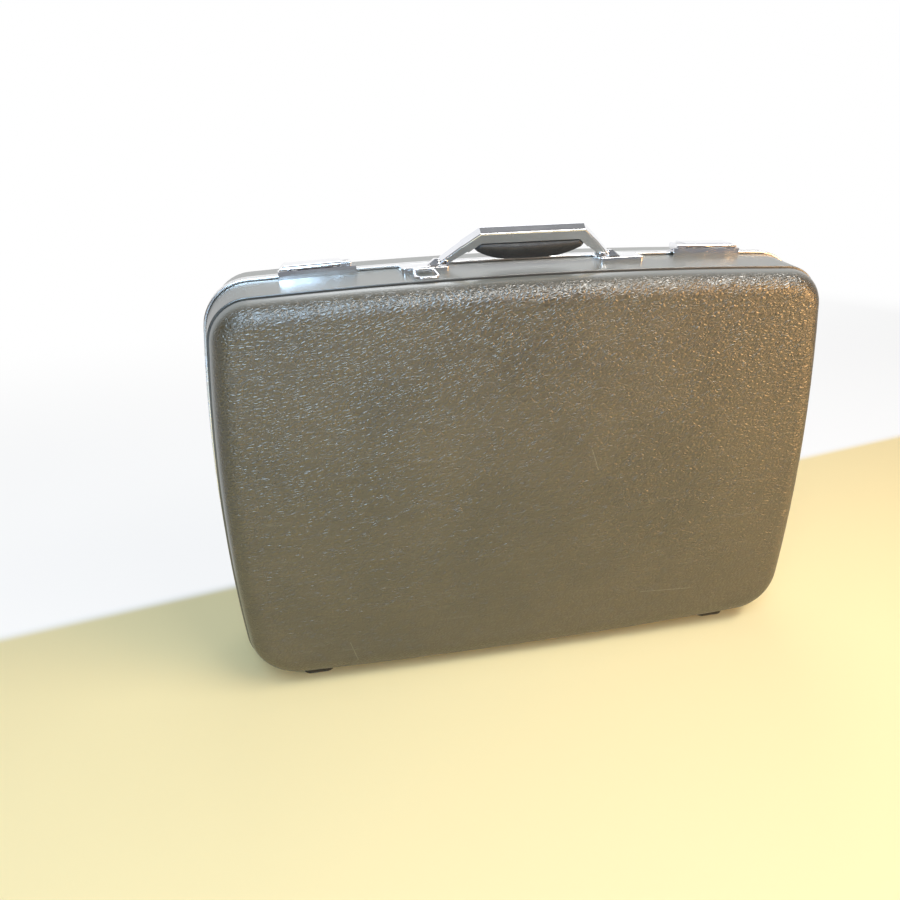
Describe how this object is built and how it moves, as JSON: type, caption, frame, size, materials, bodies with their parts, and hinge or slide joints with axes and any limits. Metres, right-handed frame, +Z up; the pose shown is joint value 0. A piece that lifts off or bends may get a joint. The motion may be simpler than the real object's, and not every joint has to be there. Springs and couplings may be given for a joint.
{
  "type": "suitcase",
  "caption": "Hard-shell suitcase with a folding padded grip, flip-up draw latches, a luggage tag ring and a hinged rear half with tray linings.",
  "frame": {"origin": "on the ground under the middle of the closed case, which stands on its feet", "axes": "+X along the case to the right as the front face is seen, +Y from the front face to the rear face, +Z up from the feet to the handle"},
  "size_m": [0.6648, 0.176, 0.488],
  "materials": {
    "shell_plastic": "moulded, leather grain on the domed faces, smooth satin side bands",
    "frame_metal": "bright rolled",
    "plated_hardware": "polished plating",
    "pin_steel": "drawn",
    "grip_vinyl": "grained, padded",
    "foot_plastic": "moulded",
    "lining_cloth": "woven cloth over board",
    "strap_webbing": "woven webbing"
  },
  "bodies": {
    "front_half": {"front_shell": "shell_plastic", "front_frame": "frame_metal", "front_lining": "lining_cloth", "foot_front_left": "foot_plastic", "foot_front_right": "foot_plastic", "foot_rivets_front": "pin_steel", "hinge_leaf_front_left": "plated_hardware", "hinge_leaf_front_right": "plated_hardware", "hinge_rivets_front": "pin_steel", "hinge_pin_left": "pin_steel", "hinge_pin_right": "pin_steel", "handle_plate_left": "plated_hardware", "handle_plate_right": "plated_hardware", "handle_pin_left": "pin_steel", "handle_pin_right": "pin_steel", "tag_ring_clip": "plated_hardware", "latch_left_plate": "plated_hardware", "latch_right_plate": "plated_hardware", "latch_left_hood_pin": "pin_steel", "latch_right_hood_pin": "pin_steel", "strap_left": "strap_webbing", "strap_right": "strap_webbing", "strap_buckle_left": "plated_hardware", "strap_buckle_right": "plated_hardware", "strap_anchors": "plated_hardware"},
    "rear_half": {"rear_shell": "shell_plastic", "rear_frame": "frame_metal", "rear_lining": "lining_cloth", "foot_rear_left": "foot_plastic", "foot_rear_right": "foot_plastic", "foot_rivets_rear": "pin_steel", "hinge_leaf_rear_left": "plated_hardware", "hinge_leaf_rear_right": "plated_hardware", "hinge_rivets_rear": "pin_steel", "latch_left_keeper": "plated_hardware", "latch_right_keeper": "plated_hardware", "rear_pocket": "lining_cloth", "rear_pocket_band": "strap_webbing"},
    "handle": {"handle_channel": "plated_hardware", "handle_end_left": "plated_hardware", "handle_end_right": "plated_hardware", "handle_grip": "grip_vinyl"},
    "tag_ring": {"tag_ring": "plated_hardware"},
    "latch_left_hood": {"latch_left_hood": "plated_hardware", "latch_left_hook_pin": "pin_steel"},
    "latch_left_hook": {"latch_left_hook": "pin_steel"},
    "latch_left_button": {"latch_left_button": "plated_hardware"},
    "latch_left_lock": {"latch_left_lock_barrel": "pin_steel"},
    "latch_right_hood": {"latch_right_hood": "plated_hardware", "latch_right_hook_pin": "pin_steel"},
    "latch_right_hook": {"latch_right_hook": "pin_steel"},
    "latch_right_button": {"latch_right_button": "plated_hardware"},
    "latch_right_lock": {"latch_right_lock_barrel": "pin_steel"}
  },
  "joints": [
    {"name": "rear_half_hinge", "type": "hinge", "parent": "front_half", "child": "rear_half", "pos_m": [0, -0.004, 0.0032], "axis": [-1, 0, 0], "range_deg": [0, 95]},
    {"name": "handle_fold", "type": "hinge", "parent": "front_half", "child": "handle", "pos_m": [0, -0.029, 0.45399], "axis": [1, 0, 0], "range_deg": [-60, 0]},
    {"name": "tag_ring_swing", "type": "hinge", "parent": "front_half", "child": "tag_ring", "pos_m": [-0.106, -0.03941, 0.44899], "axis": [-1, 0, 0], "range_deg": [0, 95]},
    {"name": "latch_left_lift", "type": "hinge", "parent": "front_half", "child": "latch_left_hood", "pos_m": [-0.2093, -0.013, 0.45255], "axis": [0.9992, 0, 0.0396], "range_deg": [0, 105]},
    {"name": "latch_left_hook_swing", "type": "hinge", "parent": "latch_left_hood", "child": "latch_left_hook", "pos_m": [-0.20932, -0.002, 0.45285], "axis": [0.9992, 0, 0.0396], "range_deg": [-38, 0]},
    {"name": "latch_left_release", "type": "slide", "parent": "front_half", "child": "latch_left_button", "axis": [0.9992, 0, 0.0396], "range_m": [0, 0.004], "stiffness_N_per_m": 300, "springref_m": -0.003},
    {"name": "latch_left_key_turn", "type": "hinge", "parent": "latch_left_button", "child": "latch_left_lock", "pos_m": [-0.17924, -0.006, 0.45665], "axis": [-0.0396, 0, 0.9992], "range_deg": [0, 90]},
    {"name": "latch_right_lift", "type": "hinge", "parent": "front_half", "child": "latch_right_hood", "pos_m": [0.2093, -0.013, 0.45255], "axis": [0.9992, 0, -0.0396], "range_deg": [0, 105]},
    {"name": "latch_right_hook_swing", "type": "hinge", "parent": "latch_right_hood", "child": "latch_right_hook", "pos_m": [0.20932, -0.002, 0.45285], "axis": [0.9992, 0, -0.0396], "range_deg": [-38, 0]},
    {"name": "latch_right_release", "type": "slide", "parent": "front_half", "child": "latch_right_button", "axis": [-0.9992, 0, 0.0396], "range_m": [0, 0.004], "stiffness_N_per_m": 300, "springref_m": -0.003},
    {"name": "latch_right_key_turn", "type": "hinge", "parent": "latch_right_button", "child": "latch_right_lock", "pos_m": [0.17924, -0.006, 0.45665], "axis": [0.0396, 0, 0.9992], "range_deg": [0, 90]}
  ],
  "couplings": [
    {"joint": "latch_left_hook_swing", "follows": "latch_left_lift", "ratio": -0.35},
    {"joint": "latch_right_hook_swing", "follows": "latch_right_lift", "ratio": -0.35}
  ]
}
